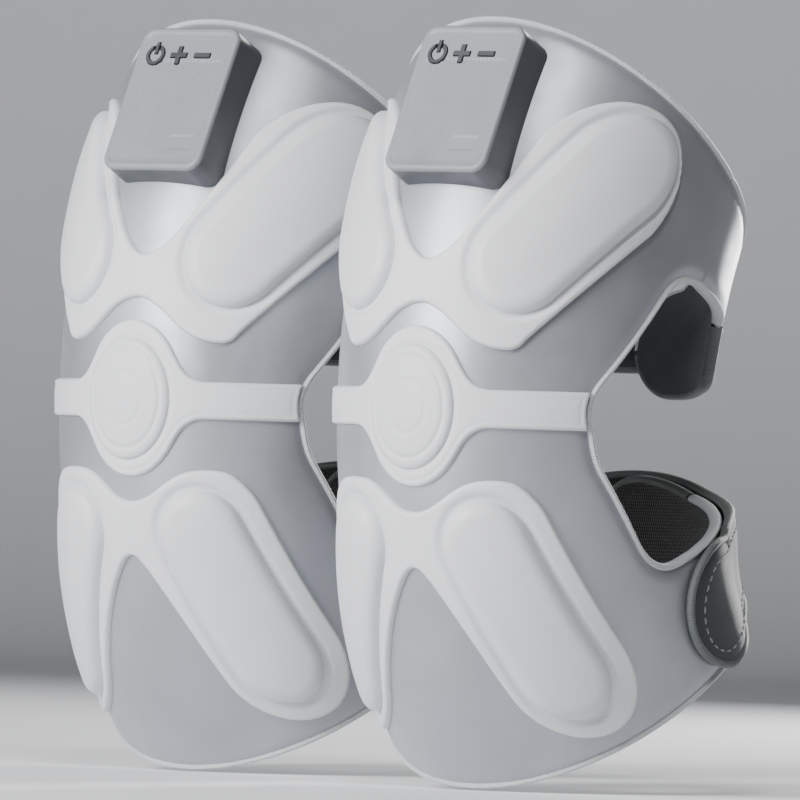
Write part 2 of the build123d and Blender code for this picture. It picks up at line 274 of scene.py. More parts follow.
def outline_distance(y, z, outline):
    """Distance from a closed outline, negative inside it."""
    nearest = np.full(y.shape, np.inf)
    inside = np.zeros(y.shape, bool)
    for (y0, z0), (y1, z1) in zip(outline, np.roll(outline, -1, axis=0)):
        along = ((y - y0) * (y1 - y0) + (z - z0) * (z1 - z0)) / ((y1 - y0) ** 2 + (z1 - z0) ** 2)
        along = np.clip(along, 0, 1)
        nearest = np.minimum(nearest, np.hypot(y - y0 - along * (y1 - y0), z - z0 - along * (z1 - z0)))
        if z0 != z1:
            between = (z0 > z) != (z1 > z)
            inside ^= between & (y < y0 + (y1 - y0) * (z - z0) / (z1 - z0))
    return np.where(inside, -nearest, nearest)


OPENING = rounded_outline(SIDE_OPENING)


def past_opening(girth, height):
    """Positive inside the side opening, with room for its piping."""
    place, _ = tube(girth, height, 0.0)
    return PIPING_ACROSS - outline_distance(place[..., 1], place[..., 2], OPENING)


def past_rims(girth, height):
    """Positive past the top or bottom rim, with room for its piping."""
    place, _ = tube(girth, height, 0.0)
    past = []
    for (level, slope), up in ((TOP_RIM, 1), (BOTTOM_RIM, -1)):
        above = place[..., 2] - level - slope * place[..., 1]
        past.append(up * above / math.hypot(1, slope))
    return np.maximum(*past) + PIPING_ACROSS


def free_edge(girth, height):
    """The rims and the side openings."""
    return np.maximum(past_rims(girth, height), past_opening(girth, height))


def shell_region(girth, height):
    return np.maximum(free_edge(girth, height), np.abs(girth) - SEAM_GIRTH)


def upper_plate(girth, height):
    beside = np.abs(girth - UPPER_MIDDLE)
    arch = 17 + 14.3 * np.exp(-(np.abs(girth - RING_PLACE[0]) / 17.5) ** 2.4) - height
    notch = height - 32.4 - np.hypot(1.45 * beside, 13.8)
    bridge = np.maximum(np.maximum(arch, notch), beside - 22)
    return smooth_max(smooth_min(capsule(beside, height, UPPER_LOBE), bridge, 6.0), arch, 2.0)


def lower_plate(girth, height):
    beside = np.abs(girth - LOWER_MIDDLE)
    arch = height + 24.8 + 10.4 * np.exp(-(np.abs(girth - RING_PLACE[0]) / 15.0) ** 2.4)
    notch = -44.7 - np.hypot(1.5 * beside, 9.0) - height
    bridge = np.maximum(np.maximum(arch, notch), beside - 26)
    return smooth_max(smooth_min(capsule(beside, height, LOWER_LOBE), bridge, 6.0), arch, 2.0)


def knee_strap(girth, height):
    band = np.abs(height - STRAP_HEIGHT) - STRAP_HALF
    ring = ellipse(girth, height, RING_PLACE, RING_SIZE)
    return np.maximum(smooth_min(band, ring, 10.0), past_opening(girth, height) + 1.2)


def knee_cap(girth, height):
    return ellipse(girth, height, CAP_PLACE, CAP_SIZE)


# Patches: grids of girth and height, cut along an outline


def slopes(region, a, b, reach=0.02):
    across = (region(a + reach, b) - region(a - reach, b)) / (2 * reach)
    up = (region(a, b + reach) - region(a, b - reach)) / (2 * reach)
    return across, up


def inside_distance(region, a, b):
    """Distance inside an outline whose function isn't a true distance."""
    across, up = slopes(region, a, b)
    return -region(a, b) / np.maximum(np.hypot(across, up), 0.3)


class Patch:
    """Faces over a grid, cut along the line where region is zero."""

    def __init__(self, region, across, up):
        a, b = np.meshgrid(across, up, indexing="ij")
        step = min(across[1] - across[0], up[1] - up[0])
        a, b, value = self.snapped(region, a, b, step)
        self.cut(a, b, value)
        self.find_edges()

    def snapped(self, region, a, b, step):
        """Moves the nodes that are nearly on the outline on to it."""
        value = region(a, b)
        edge = np.abs(value) < 2 * step
        for _ in range(2):
            across, up = slopes(region, a[edge], b[edge])
            steep = np.maximum(across ** 2 + up ** 2, 1e-6)
            near = np.abs(value[edge]) < 0.35 * step * np.sqrt(steep)
            move = np.where(near, value[edge] / steep, 0.0)
            a[edge] -= move * across
            b[edge] -= move * up
            value[edge] = np.where(near, 0.0, value[edge])
            moved = region(a[edge], b[edge])
            value[edge] = np.where(near, moved, value[edge])
        value[np.abs(value) < 0.05 * step] = 0.0
        return a, b, value

    def cut(self, a, b, value):
        count = value.size
        index = np.arange(count).reshape(value.shape)
        points = [np.stack([a.ravel(), b.ravel()], -1)]
        crossings = []
        for axis in (0, 1):
            v0 = value[:-1, :] if axis == 0 else value[:, :-1]
            v1 = value[1:, :] if axis == 0 else value[:, 1:]
            n0 = index[:-1, :] if axis == 0 else index[:, :-1]
            n1 = index[1:, :] if axis == 0 else index[:, 1:]
            turns = v0 * v1 < 0
            share = (v0[turns] / (v0[turns] - v1[turns]))[:, None]
            start, end = points[0][n0[turns]], points[0][n1[turns]]
            found = np.full(v0.shape, -1)
            found[turns] = count + np.arange(int(turns.sum()))
            count += int(turns.sum())
            points.append(start * (1 - share) + end * share)
            crossings.append(found)
        corners = [index[:-1, :-1], index[1:, :-1], index[1:, 1:], index[:-1, 1:]]
        values = np.stack([value.ravel()[corner] for corner in corners])
        whole = (values <= 0).all(0) & (values < 0).any(0)
        quads = np.stack([corner[whole] for corner in corners], -1)
        cells = []
        for i, j in zip(*np.nonzero((values < 0).any(0) & (values > 0).any(0))):
            edges = (crossings[0][i, j], crossings[1][i + 1, j], crossings[0][i, j + 1], crossings[1][i, j])
            cell = []
            for k in range(4):
                if values[k, i, j] <= 0:
                    cell.append(int(corners[k][i, j]))
                if edges[k] >= 0:
                    cell.append(int(edges[k]))
            if len(cell) > 2:
                cells.append(cell)
        points = np.concatenate(points)
        used = np.unique(np.concatenate([quads.ravel()] + [np.array(cell) for cell in cells]))
        renumber = np.full(len(points), -1)
        renumber[used] = np.arange(len(used))
        self.points = points[used]
        self.faces = renumber[quads].tolist() + [[int(renumber[v]) for v in cell] for cell in cells]

    def find_edges(self):
        """Outline edges, each with the patch on its left."""
        starts = np.array([v for face in self.faces for v in face])
        ends = np.array([v for face in self.faces for v in face[1:] + face[:1]])
        key = np.minimum(starts, ends) * len(self.points) + np.maximum(starts, ends)
        _, which, count = np.unique(key, return_inverse=True, return_counts=True)
        single = count[which] == 1
        self.edges = np.stack([starts[single], ends[single]], -1)

    def loops(self):
        following = dict(self.edges.tolist())
        loops = []
        while following:
            vertex = next(iter(following))
            loop = []
            while vertex in following:
                loop.append(vertex)
                vertex = following.pop(vertex)
            loops.append(loop)
        return loops

    def runs(self, kept):
        """Stretches of the outline where kept(points) is true, as (points, closed)."""
        runs = []
        for loop in self.loops():
            points = self.points[loop]
            keep = kept(points)
            if keep.all():
                runs.append((points, True))
                continue
            if not keep.any():
                continue
            first = int(np.argmin(keep))
            points, keep = np.roll(points, -first, axis=0), np.roll(keep, -first)
            marks = np.flatnonzero(np.diff(np.concatenate([[0], keep.astype(int), [0]])))
            for start, end in zip(marks[::2], marks[1::2]):
                if end - start > 3:
                    runs.append((points[start:end], False))
        return runs


def even_run(points, closed, spacing, passes=4):
    """The same line with even, smoothed points."""
    line = np.concatenate([points, points[:1]]) if closed else points
    along = np.concatenate([[0], np.cumsum(np.linalg.norm(np.diff(line, axis=0), axis=1))])
    count = max(int(along[-1] / spacing), 4)
    places = np.linspace(0, along[-1], count + 1)
    line = np.stack([np.interp(places, along, line[:, k]) for k in (0, 1)], -1)
    if closed:
        line = line[:-1]
    for _ in range(passes):
        middle = 0.5 * line + 0.25 * (np.roll(line, 1, axis=0) + np.roll(line, -1, axis=0))
        if not closed:
            middle[[0, -1]] = line[[0, -1]]
        line = middle
    return line


def shifted_run(line, closed, distance):
    """The line moved towards the inside of its patch."""
    ahead, back = np.roll(line, -1, axis=0), np.roll(line, 1, axis=0)
    if not closed:
        ahead[-1], back[0] = line[-1], line[0]
    along = unit(ahead - back)
    return line + distance * np.stack([-along[:, 1], along[:, 0]], -1)


# Meshes


class Skin:
    """Points, faces and weave coordinates of one piece, gathered part by part, in mm."""

    def __init__(self):
        self.points = []
        self.weave = []
        self.faces = []
        self.groups = []
        self.pinned = []
        self.count = 0

    def add(self, points, faces, weave, group=0):
        self.points.append(points)
        self.weave.append(weave)
        self.faces.extend([[v + self.count for v in face] for face in faces])
        self.groups.extend([group] * len(faces) if np.isscalar(group) else list(group))
        self.count += len(points)

    def add_layer(self, patch, place, top, bottom, group_of=None):
        """Closed layer between two heights over a patch."""
        a, b = patch.points.T
        start = self.count
        upper, normal = place(a, b, top(a, b))
        lower, _ = place(a, b, bottom(a, b))
        count = len(a)
        faces = list(patch.faces)
        faces += [[v + count for v in reversed(face)] for face in patch.faces]
        faces += [[v, u, u + count, v + count] for u, v in patch.edges.tolist()]
        group = 0
        if group_of is not None:
            middles = np.array([patch.points[face].mean(0) for face in patch.faces])
            group = list(group_of(middles)) * 2
            group += list(group_of(patch.points[patch.edges].mean(1)))
        self.add(np.concatenate([upper, lower]), faces, np.concatenate([patch.points] * 2), group)
        on_seam = np.flatnonzero(np.abs(np.abs(a) - SEAM_GIRTH) < 0.01)
        for vertex in on_seam:
            self.pinned.append((start + vertex, normal[vertex]))
            self.pinned.append((start + vertex + count, -normal[vertex]))

    def add_sweep(self, path, normals, across, through, closed, weave=None, sides=12, group=0):
        """Tube of elliptical section along a path."""
        ahead, back = np.roll(path, -1, axis=0), np.roll(path, 1, axis=0)
        if not closed:
            ahead[-1], back[0] = path[-1], path[0]
        along = unit(ahead - back)
        side = unit(np.cross(normals, along))
        out = np.cross(along, side)
        across = np.broadcast_to(across, len(path))[:, None, None]
        through = np.broadcast_to(through, len(path))[:, None, None]
        turns = np.linspace(0, 2 * math.pi, sides, endpoint=False)
        ring = across * side[:, None] * np.cos(turns)[None, :, None]
        ring = ring + through * out[:, None] * np.sin(turns)[None, :, None]
        points = (path[:, None] + ring).reshape(-1, 3)
        count = len(path)
        faces = []
        for i in range(count if closed else count - 1):
            j = (i + 1) % count
            for k in range(sides):
                m = (k + 1) % sides
                faces.append([i * sides + k, i * sides + m, j * sides + m, j * sides + k])
        if not closed:
            faces.append(list(range(sides))[::-1])
            faces.append([(count - 1) * sides + k for k in range(sides)])
        length = np.concatenate([[0], np.cumsum(np.linalg.norm(np.diff(path, axis=0), axis=1))])
        weave = np.stack([np.repeat(length, sides), np.tile(turns * 2.0, count)], -1)
        self.add(points, faces, weave, group)

    def add_stitches(self, line, closed, place, rise, length=2.4, gap=1.2, radius=0.32):
        """Thread lying in short stitches along a line of girth and height."""
        path, normals = place(line[:, 0], line[:, 1], rise(line[:, 0], line[:, 1]))
        along = np.concatenate([[0], np.cumsum(np.linalg.norm(np.diff(path, axis=0), axis=1))])
        arch = np.array([-0.45, 0.12, 0.3, 0.12, -0.45]) * radius * 1.5
        thick = np.array([0.55, 1.0, 1.0, 1.0, 0.55]) * radius
        for start in np.arange(1.0, along[-1] - length, length + gap):
            places = start + np.linspace(0, length, 5)
            points = np.stack([np.interp(places, along, path[:, k]) for k in range(3)], -1)
            normal = unit(np.stack([np.interp(places, along, normals[:, k]) for k in range(3)], -1))
            self.add_sweep(points + arch[:, None] * normal, normal, thick, thick, False, sides=6)

    def mesh(self, name, materials):
        mesh = bpy.data.meshes.new(name)
        mesh.from_pydata((np.concatenate(self.points) * MM).tolist(), [], self.faces)
        for material in materials:
            mesh.materials.append(material)
        mesh.polygons.foreach_set("material_index", self.groups)
        mesh.polygons.foreach_set("use_smooth", [True] * len(mesh.polygons))
        layer = mesh.uv_layers.new(name="weave")
        vertices = np.zeros(len(mesh.loops), int)
        mesh.loops.foreach_get("vertex_index", vertices)
        layer.data.foreach_set("uv", np.concatenate(self.weave)[vertices].ravel())
        mesh.validate()
        mesh.set_sharp_from_angle(angle=math.radians(48))
        self.pin_normals(mesh, vertices)
        return mesh

    def pin_normals(self, mesh, vertices):
        """Gives the vertices of a seam the tube's own normal, so the next piece runs on smoothly."""
        if not self.pinned:
            return
        wanted = np.zeros((self.count, 3))
        for vertex, normal in self.pinned:
            wanted[vertex] = normal
        face_normals = np.zeros(len(mesh.polygons) * 3)
        mesh.polygons.foreach_get("normal", face_normals)
        counts = np.zeros(len(mesh.polygons), int)
        mesh.polygons.foreach_get("loop_total", counts)
        facing = np.repeat(face_normals.reshape(-1, 3), counts, axis=0)
        normals = wanted[vertices]
        agree = (normals * facing).sum(-1) > 0.7
        normals[~agree] = 0
        mesh.normals_split_custom_set(normals.tolist())


# Materials


class Finish:
    """Material made of nodes, with constants set on the shader's own sockets."""

    def __init__(self, name, colour, roughness, **constants):
        self.material = bpy.data.materials.new(name)
        self.material.use_nodes = True
        self.tree = self.material.node_tree
        self.shader = self.tree.nodes["Principled BSDF"]
        self.shader.inputs["Base Color"].default_value = (*colour, 1)
        self.shader.inputs["Roughness"].default_value = roughness
        for socket, value in constants.items():
            self.shader.inputs[socket.replace("_", " ")].default_value = value
        self.colour = colour
        self.height = None

    def node(self, kind, inputs=(), output=0, **settings):
        """Adds a node, sets or links its inputs, and returns one of its outputs."""
        node = self.tree.nodes.new("ShaderNode" + kind)
        for name, value in settings.items():
            setattr(node, name, value)
        for socket, value in dict(inputs).items():
            if isinstance(value, bpy.types.NodeSocket):
                self.tree.links.new(value, node.inputs[socket])
            else:
                node.inputs[socket].default_value = value
        return node.outputs[output]

    def math(self, operation, first, second=0.0):
        return self.node("Math", {0: first, 1: second}, operation=operation)

    def place(self):
        return self.node("TexCoord", output="Object")

    def weave_lines(self):
        """Girth and height of the cloth, in mm."""
        first = self.node("SeparateXYZ", {0: self.node("UVMap", uv_map="weave")})
        return first, first.node.outputs[1]

    def waves(self, pitch_across, pitch_up):
        """Two crossed waves, from -1 to 1, with the pitches in mm."""
        across, up = self.weave_lines()
        first = self.math("SINE", self.math("MULTIPLY", across, 2 * math.pi / pitch_across))
        second = self.math("SINE", self.math("MULTIPLY", up, 2 * math.pi / pitch_up))
        return first, second

    def noise(self, scale, detail=3.0):
        return self.node("TexNoise", {"Vector": self.place(), "Scale": scale, "Detail": detail}, output=0)

    def add_height(self, value, amount):
        """Adds value times amount, in mm, to the surface's fine relief."""
        part = self.math("MULTIPLY", value, amount)
        self.height = part if self.height is None else self.math("ADD", self.height, part)

    def vary_colour(self, value, low, high):
        """Colour between low and high times the base colour."""
        ramp = self.tree.nodes.new("ShaderNodeValToRGB")
        ramp.color_ramp.elements[0].position = 0.3
        ramp.color_ramp.elements[1].position = 0.7
        ramp.color_ramp.elements[0].color = (*[c * low for c in self.colour], 1)
        ramp.color_ramp.elements[1].color = (*[min(c * high, 1) for c in self.colour], 1)
        self.tree.links.new(value, ramp.inputs[0])
        self.tree.links.new(ramp.outputs[0], self.shader.inputs["Base Color"])

    def vary_roughness(self, value, low, high):
        spread = self.node("MapRange", {0: value, 1: 0.3, 2: 0.7, 3: low, 4: high})
        self.tree.links.new(spread, self.shader.inputs["Roughness"])

    def done(self):
        if self.height is not None:
            relief = self.node("Bump", {"Height": self.height, "Distance": MM, "Strength": 1.0})
            self.tree.links.new(relief, self.shader.inputs["Normal"])
        return self.material


def knit_cloth(name, colour, pitch, depth, roughness, **constants):
    finish = Finish(name, colour, roughness, **constants)
    across, up = finish.waves(pitch, pitch * 0.8)
    knit = finish.math("MULTIPLY", across, up)
    finish.add_height(knit, depth)
    finish.add_height(finish.noise(900, 2.0), depth * 0.6)
    finish.vary_colour(finish.noise(45, 4.0), 0.94, 1.05)
    finish.vary_roughness(finish.noise(120, 3.0), roughness - 0.04, roughness + 0.05)
    return finish.done()


def spacer_mesh(name, colour, pitch, depth):
    """Open knitted mesh with rows of small holes, its colour darkened in the holes as painted shade."""
    finish = Finish(name, colour, 0.75, Sheen_Weight=0.35, Sheen_Roughness=0.4)
    across, up = finish.waves(pitch, pitch)
    holes = finish.math("MULTIPLY", finish.math("ABSOLUTE", across), finish.math("ABSOLUTE", up))
    finish.add_height(holes, -depth)
    # painted shade: the colour darkens in the holes and lightens on the knit between them
    shade = finish.math("SUBTRACT", 1.0, holes)
    finish.vary_colour(shade, 0.35, 1.5)
    return finish.done()


def moulded_skin(name, colour, roughness, **constants):
    """Soft moulded skin with a fine matt grain."""
    finish = Finish(name, colour, roughness, **constants)
    finish.add_height(finish.noise(1600, 3.0), 0.05)
    finish.add_height(finish.noise(260, 3.0), 0.04)
    finish.vary_colour(finish.noise(30, 4.0), 0.975, 1.02)
    finish.vary_roughness(finish.noise(90, 3.0), roughness - 0.05, roughness + 0.06)
    return finish.done()


def plain_hard(name, colour, roughness, grain=0.02, **constants):
    """Hard plastic or metal with fine grain and slightly uneven gloss."""
    finish = Finish(name, colour, roughness, **constants)
    finish.add_height(finish.noise(1400, 3.0), grain)
    finish.vary_colour(finish.noise(60, 3.0), 0.95, 1.04)
    finish.vary_roughness(finish.noise(150, 3.0), max(roughness - 0.06, 0.02), roughness + 0.08)
    return finish.done()


def piping_cloth(name, colour):
    finish = Finish(name, colour, 0.55, Sheen_Weight=0.25, Sheen_Roughness=0.4)
    across, _ = finish.waves(0.9, 1.0)
    finish.add_height(across, 0.05)
    finish.add_height(finish.noise(700, 2.0), 0.05)
    finish.vary_colour(finish.noise(60, 3.0), 0.92, 1.05)
    return finish.done()


def board_finish():
    """Green solder mask with paler tracks."""
    finish = Finish("circuit_board", (0.02, 0.12, 0.05), 0.3, Coat_Weight=0.5)
    tracks = finish.node("TexBrick", {"Vector": finish.place(), "Scale": 260.0, "Mortar Size": 0.03},
                         output="Fac")
    finish.add_height(tracks, 0.03)
    finish.vary_colour(tracks, 0.8, 2.2)
    return finish.done()


def make_materials():
    silver = (0.37, 0.385, 0.42)
    return {
        "shell_fabric": knit_cloth("shell_fabric", silver, 0.7, 0.015, 0.36, Metallic=0.55,
                                   Sheen_Weight=0.15),
        "strap_fabric": knit_cloth("strap_fabric", (0.030, 0.034, 0.038), 0.9, 0.05, 0.7,
                                   Sheen_Weight=0.5, Sheen_Roughness=0.35),
        "lining_mesh": spacer_mesh("lining_mesh", (0.012, 0.012, 0.013), 2.0, 0.35),
        "white_plate": moulded_skin("white_plate", (0.66, 0.67, 0.69), 0.5),
        "white_pod": moulded_skin("white_pod", (0.64, 0.65, 0.67), 0.46),
        "binding_tape": piping_cloth("binding_tape", (0.46, 0.47, 0.485)),
        "strap_binding": piping_cloth("strap_binding", (0.10, 0.11, 0.11)),
        "thread": knit_cloth("thread", (0.34, 0.35, 0.37), 0.5, 0.04, 0.6),
        "controller_face": plain_hard("controller_face", (0.22, 0.228, 0.25), 0.42),
        # controller_body: the housing's dark charcoal is painted shade; the housing is made darker than the
        # face to stand for the deep shade on its right wall
        "controller_body": plain_hard("controller_body", (0.075, 0.08, 0.092), 0.42),
        "button_key": plain_hard("button_key", (0.045, 0.048, 0.055), 0.4),
        "heating_film": plain_hard("heating_film", (0.45, 0.16, 0.03), 0.35, Coat_Weight=0.3),
        "flex_wiring": plain_hard("flex_wiring", (0.35, 0.14, 0.02), 0.4),
        "motor_can": plain_hard("motor_can", (0.55, 0.56, 0.58), 0.3, Metallic=0.9),
        "circuit_board": board_finish(),
        "battery_pouch": plain_hard("battery_pouch", (0.50, 0.51, 0.53), 0.34, 0.05, Metallic=0.8),
        "socket_shell": plain_hard("socket_shell", (0.50, 0.50, 0.52), 0.28, Metallic=1.0),
        "screw_steel": plain_hard("screw_steel", (0.42, 0.43, 0.45), 0.3, Metallic=1.0),
        "hook_tape": knit_cloth("hook_tape", (0.028, 0.030, 0.034), 1.1, 0.12, 0.85),
    }


MATERIALS = make_materials()


# Pieces, made once and placed for both guards

left_low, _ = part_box("left_outer_shell")
right_low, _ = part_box("right_outer_shell")
PAIR_OFFSET = right_low - left_low


def place_pair(name, skin, materials, body, replaced=(), hinge=None):
    """Puts a piece on both guards and attaches it to the body; with a hinge it stays unattached, with its
    place baked into its mesh, and is not bent.
    """
    mesh = skin.mesh(name, [MATERIALS[m] for m in materials])
    pieces = []
    for side in SIDES:
        own = mesh if side == "left" else mesh.copy()
        piece = bpy.data.objects.new(f"{side}_{name}", own)
        bpy.context.scene.collection.objects.link(piece)
        offset = Vector((0, 0, 0)) if side == "left" else PAIR_OFFSET
        own.transform(Matrix.Translation(offset))
        if hinge is None:
            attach(piece, f"{side}_{body}")
        else:
            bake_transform(piece)
        if replaced:
            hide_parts(*[f"{side}_{node}" for node in replaced])
        pieces.append(piece)
    return pieces


def softness(a, b):
    """Slight unevenness of padded cloth, in mm."""
    return 0.10 * np.sin(a / 9.0 + 1.3 * np.sin(b / 17.0)) * np.sin(b / 11.0 + 0.8 * np.sin(a / 21.0))


SHELL_ACROSS = np.linspace(-SEAM_GIRTH, SEAM_GIRTH, 2 * int(SEAM_GIRTH / SHELL_STEP) + 1)
SHELL_UP = np.arange(-129.0, 129.1, SHELL_STEP)


def shell_top(a, b):
    inside = np.maximum(-free_edge(a, b), 0)
    return softness(a, b) - 1.1 * bump(inside, 2.2)


def constant(value):
    return lambda a, b: np.full(np.shape(a), value)


def make_shell():
    patch = Patch(shell_region, SHELL_ACROSS, SHELL_UP)
    skin = Skin()
    skin.add_layer(patch, tube, shell_top, constant(SHELL_INSIDE))
    place_pair("outer_shell", skin, ["shell_fabric"], "guard", ["outer_shell"])
    lining = Skin()
    lining.add_layer(patch, tube, constant(LINING_OUTSIDE), constant(LINING_INSIDE))
    for piece in place_pair("mesh_lining", lining, ["lining_mesh"], "guard",
                            ["mesh_lining"]):
        declare_sheet(piece)
    piping = Skin()
    add_piping(piping, patch, lambda points: free_edge(*points.T) > -0.9, constant(PIPING_CENTRE))
    place_pair("edge_piping", piping, ["binding_tape"], "guard", ["edge_binding"])


def declare_sheet(piece):
    """The lining is cut flat as one shape; this only reads the areas of its faces and does nothing with
    them.
    """
    mesh = piece.data
    areas = np.zeros(len(mesh.polygons))
    mesh.polygons.foreach_get("area", areas)


def add_piping(skin, patch, kept, centre, through=None, group=0):
    """Rounded tape along the kept stretches of a patch's outline."""
    for points, closed in patch.runs(kept):
        line = even_run(points, closed, PIPING_STEP)
        path, normals = tube(line[:, 0], line[:, 1], centre(line[:, 0], line[:, 1]))
        depth = PIPING_THROUGH if through is None else through(line[:, 0], line[:, 1])
        skin.add_sweep(path, normals, PIPING_ACROSS, depth, closed, group=group)


def plate_top(region, pod, middle):
    def top(a, b):
        rim = quarter_round(inside_distance(region, a, b), 1.3)
        beside_pod = capsule(np.abs(a - middle), b, pod)
        seat = PLATE_UNDER_POD + (PLATE_TOP - PLATE_UNDER_POD) * smoothstep((beside_pod - 0.3) / 2.8)
        return 0.5 + (seat - 0.5) * rim
    return top


def grid(low, high, step):
    return np.arange(low, high + step, step)


def make_plates():
    for name, region, pod, middle, up in (
            ("upper_overlay", upper_plate, UPPER_POD, UPPER_MIDDLE, (14, 100)),
            ("lower_overlay", lower_plate, LOWER_POD, LOWER_MIDDLE, (-110, -20))):
        patch = Patch(region, grid(-90.3, 90.3, PLATE_STEP), grid(*up, PLATE_STEP))
        skin = Skin()
        skin.add_layer(patch, tube, plate_top(region, pod, middle), constant(-0.6))
        place_pair(name, skin, ["white_plate"], "guard", [name])


def placed(line, middle, side):
    """A slot moved from beside its plate's middle to its real girths."""
    (a0, b0), (a1, b1), start_radius, end_radius = line
    return (middle + side * a0, b0), (middle + side * a1, b1), start_radius, end_radius


def make_pods():
    for name, line in (("upper_outer", placed(UPPER_POD, UPPER_MIDDLE, 1)),
                       ("upper_inner", placed(UPPER_POD, UPPER_MIDDLE, -1)),
                       ("lower_outer", placed(LOWER_POD, LOWER_MIDDLE, 1)),
                       ("lower_inner", placed(LOWER_POD, LOWER_MIDDLE, -1))):
        (a0, b0), (a1, b1), start_radius, radius = line
        reach = max(start_radius, radius) + 1
        across = grid(min(a0, a1) - reach, max(a0, a1) + reach, PLATE_STEP)
        up = grid(min(b0, b1) - reach, max(b0, b1) + reach, PLATE_STEP)

        def region(a, b):
            return capsule(a, b, line)

        def top(a, b):
            inside = -region(a, b)
            crown = 0.5 * smoothstep(inside / radius)
            return PLATE_UNDER_POD + (POD_HEIGHT - 0.5) * quarter_round(inside, POD_SHOULDER) + crown

        skin = Skin()
        skin.add_layer(Patch(region, across, up), tube, top, constant(0.2))
        place_pair(name + "_pod", skin, ["white_pod"], "guard", [name + "_pod"])


def make_knee_piece():
    patch = Patch(knee_strap, grid(-66, 66, PLATE_STEP), grid(-30, 30, PLATE_STEP))

    def strap_top(a, b):
        inside = inside_distance(knee_strap, a, b)
        under_cap = smoothstep((knee_cap(a, b) + 1.0) / 3.0)
        line = 0.22 * bump(inside - 2.2, 0.45)
        return 0.4 + (0.7 + 0.6 * under_cap) * quarter_round(inside, 1.2) - line

    skin = Skin()
    skin.add_layer(patch, tube, strap_top, constant(-0.6))
    place_pair("kneecap_band", skin, ["white_plate"], "guard", ["kneecap_band"])

    def cap_top(a, b):
        share = 1 + knee_cap(a, b) * 2 / sum(CAP_SIZE)
        inside = -knee_cap(a, b)
        rings = 0.4 * bump(share - 0.80, 0.035) + 0.25 * bump(share - 0.42, 0.04)
        return 0.9 + (CAP_HEIGHT - 0.4) * quarter_round(inside, 2.4) + 0.6 * (1 - share ** 2) - rings

    span = CAP_SIZE[0] + 1, CAP_SIZE[1] + 1
    cap = Patch(knee_cap, grid(CAP_PLACE[0] - span[0], CAP_PLACE[0] + span[0], 0.45),
                grid(CAP_PLACE[1] - span[1], CAP_PLACE[1] + span[1], 0.45))
    skin = Skin()
    skin.add_layer(cap, tube, cap_top, constant(0.2))
    place_pair("kneecap_disc", skin, ["white_pod"], "guard", ["kneecap_disc"])


def glyph_regions(across, up):
    """The three button openings: a power sign, a plus and a minus."""
    across, up = across - BUTTON_ROW[0], up - BUTTON_ROW[1]
    left = across + BUTTON_SPACING
    ring = np.abs(np.hypot(left, up) - 3.05) - 0.55
    gap = rounded_box(left, up - 3, 1.6, 2.0, 0.1)
    bar = rounded_box(left, up - 2.6, 0.55, 2.1, 0.1)
    power = np.minimum(np.maximum(ring, -gap), bar)
    plus = np.minimum(rounded_box(across, up, *GLYPH_BAR, 0.1), rounded_box(up, across, *GLYPH_BAR, 0.1))
    minus = rounded_box(across - BUTTON_SPACING, up, *GLYPH_BAR, 0.1)
    return np.minimum(np.minimum(power, plus), minus)


def make_controller_cover():
    half = CONTROLLER_SIZE[0] / 2, CONTROLLER_SIZE[1] / 2

    def outline(a, b):
        return rounded_box(a, b, *half, CONTROLLER_CORNER)

    def region(a, b):
        return np.maximum(outline(a, b), BUTTON_CLEARANCE - glyph_regions(a, b))

    def top(a, b):
        edge = quarter_round(-outline(a, b), 1.3)
        field = rounded_box(a, b + 4.5, half[0] - 3.4, half[1] - 7.5, 2.5)
        ribs = 0.3 * smoothstep(-field / 0.8) * (0.5 - 0.5 * np.cos(2 * math.pi * a / RIB_PITCH))
        window = 0.45 * smoothstep(-rounded_box(a - 9.5, b + 16.5, 5.2, 2.8, 0.8) / 0.5)
        border = 0.35 * smoothstep((-outline(a, b) - 1.9) / 0.8)
        return COVER_TOP + 0.25 - 1.1 * (1 - edge) - border - np.maximum(ribs, window)

    across, up = [grid(-length - 0.3, length + 0.3, 0.3) for length in half]
    patch = Patch(region, across, up)
    skin = Skin()
    skin.add_layer(patch, controller, top, constant(COVER_BOTTOM))
    place_pair("controller_cover", skin, ["controller_face"], "guard",
               ["controller_cover"])
